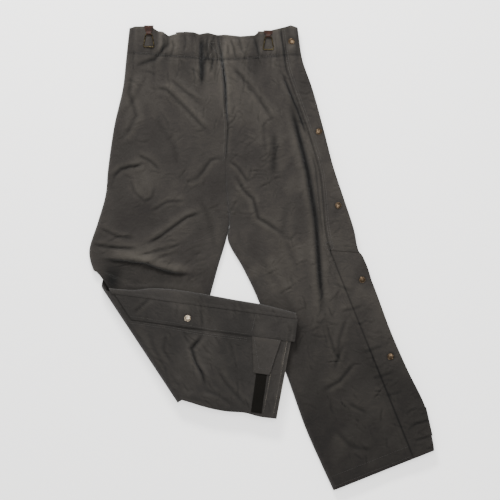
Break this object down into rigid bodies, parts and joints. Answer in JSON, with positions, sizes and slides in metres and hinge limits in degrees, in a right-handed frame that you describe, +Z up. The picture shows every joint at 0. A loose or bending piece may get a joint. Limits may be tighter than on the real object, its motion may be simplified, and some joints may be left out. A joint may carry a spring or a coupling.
{
  "type": "bunker pants",
  "caption": "Elastic-waist canvas trousers lying flat, one lower leg folded over at the knee, with snap-closed side flaps, cuff tabs and suspender rings.",
  "frame": {"origin": "centre of the outline as it lies, on the floor under its lowest point", "axes": "+Z up from the floor out of the trousers' front, +Y towards the waist, +X towards the wearer's left"},
  "size_m": [0.8092, 1.0872, 0.0363],
  "materials": {
    "canvas": "woven canvas, matt, faded and creased",
    "canvas_lower": "woven canvas, matt, less faded",
    "facing_tape": "plain woven facing",
    "elastic": "knitted elastic",
    "hook_and_loop": "brushed nylon pile",
    "strap_leather": "worn, satin",
    "ring_wire": "oxidised",
    "snap_nickel": "nickel plate, worn"
  },
  "bodies": {
    "garment": {"front_left_panel": "canvas", "back_left_panel": "canvas", "left_side_turn": "canvas", "left_underlap": "canvas", "left_inseam": "canvas", "front_right_thigh_panel": "canvas", "back_right_thigh_panel": "canvas", "right_side_turn": "canvas", "right_inseam": "canvas", "left_flap_upper": "canvas", "right_flap_upper": "canvas", "right_flap_seam_upper": "canvas", "knee_fold": "canvas_lower", "left_flap_seam": "canvas_lower", "waist_facing": "facing_tape", "left_hem_facing": "facing_tape", "waist_elastic": "elastic", "left_loop_patch": "hook_and_loop", "front_right_strap": "strap_leather", "front_left_strap": "strap_leather", "rear_right_strap": "strap_leather", "rear_left_strap": "strap_leather", "left_snap_1_cap": "snap_nickel", "left_snap_1_stud": "snap_nickel", "left_snap_2_cap": "snap_nickel", "left_snap_2_stud": "snap_nickel", "left_snap_3_cap": "snap_nickel", "left_snap_3_stud": "snap_nickel", "left_snap_4_stud": "snap_nickel", "left_snap_4_post": "snap_nickel", "left_snap_5_stud": "snap_nickel", "left_snap_5_post": "snap_nickel", "right_snap_1": "snap_nickel", "right_snap_2": "snap_nickel", "right_snap_3": "snap_nickel", "right_snap_4": "snap_nickel"},
    "right_lower_leg": {"right_lower_front_panel": "canvas_lower", "right_lower_back_panel": "canvas_lower", "right_flap_seam_lower": "canvas_lower", "right_loop_patch": "hook_and_loop", "right_hem_facing": "facing_tape", "right_snap_5_stud": "snap_nickel", "right_snap_5_post": "snap_nickel"},
    "right_flap": {"right_flap_lower": "canvas_lower", "right_snap_5_cap": "snap_nickel", "right_snap_5_socket": "snap_nickel"},
    "right_tab": {"right_cuff_tab": "canvas_lower", "right_hook_patch": "hook_and_loop"},
    "left_flap": {"left_flap_lower": "canvas_lower", "left_snap_4_cap": "snap_nickel", "left_snap_4_socket": "snap_nickel", "left_snap_5_cap": "snap_nickel", "left_snap_5_socket": "snap_nickel"},
    "left_tab": {"left_cuff_tab": "canvas_lower", "left_hook_patch": "hook_and_loop"},
    "front_right_ring_body": {"front_right_ring": "ring_wire"},
    "front_left_ring_body": {"front_left_ring": "ring_wire"},
    "rear_right_ring_body": {"rear_right_ring": "ring_wire"},
    "rear_left_ring_body": {"rear_left_ring": "ring_wire"}
  },
  "joints": [
    {"name": "right_knee_fold", "type": "hinge", "parent": "garment", "child": "right_lower_leg", "pos_m": [-0.28203, -0.18544, 0.01825], "axis": [0.55, -0.8351, 0], "range_deg": [0, 179], "deforming": ["knee_fold"]},
    {"name": "right_flap_open", "type": "hinge", "parent": "right_lower_leg", "child": "right_flap", "pos_m": [-0.12152, -0.11294, 0.03505], "axis": [-0.9908, 0.1356, 0], "range_deg": [0, 165]},
    {"name": "right_tab_open", "type": "hinge", "parent": "right_flap", "child": "right_tab", "pos_m": [0.01095, -0.18577, 0.03505], "axis": [-0.9908, 0.1356, 0], "range_deg": [0, 120]},
    {"name": "left_flap_open", "type": "hinge", "parent": "garment", "child": "left_flap", "pos_m": [0.26498, -0.24144, 0.01975], "axis": [0.3738, -0.9275, 0], "range_deg": [0, 165]},
    {"name": "left_tab_open", "type": "hinge", "parent": "garment", "child": "left_tab", "pos_m": [0.39234, -0.38163, 0.0181], "axis": [0.2211, -0.9753, 0], "range_deg": [0, 165]},
    {"name": "front_right_ring_swing", "type": "hinge", "parent": "garment", "child": "front_right_ring_body", "pos_m": [-0.26453, 0.5268, 0.02085], "axis": [-1, 0, 0], "range_deg": [0, 150]},
    {"name": "front_left_ring_swing", "type": "hinge", "parent": "garment", "child": "front_left_ring_body", "pos_m": [0.01547, 0.52067, 0.02085], "axis": [-1, 0, 0], "range_deg": [0, 150]},
    {"name": "rear_right_ring_swing", "type": "hinge", "parent": "garment", "child": "rear_right_ring_body", "pos_m": [-0.19052, 0.52098, 0.00255], "axis": [1, 0, 0], "range_deg": [0, 150]},
    {"name": "rear_left_ring_swing", "type": "hinge", "parent": "garment", "child": "rear_left_ring_body", "pos_m": [0.00147, 0.51973, 0.00255], "axis": [1, 0, 0], "range_deg": [0, 150]}
  ]
}
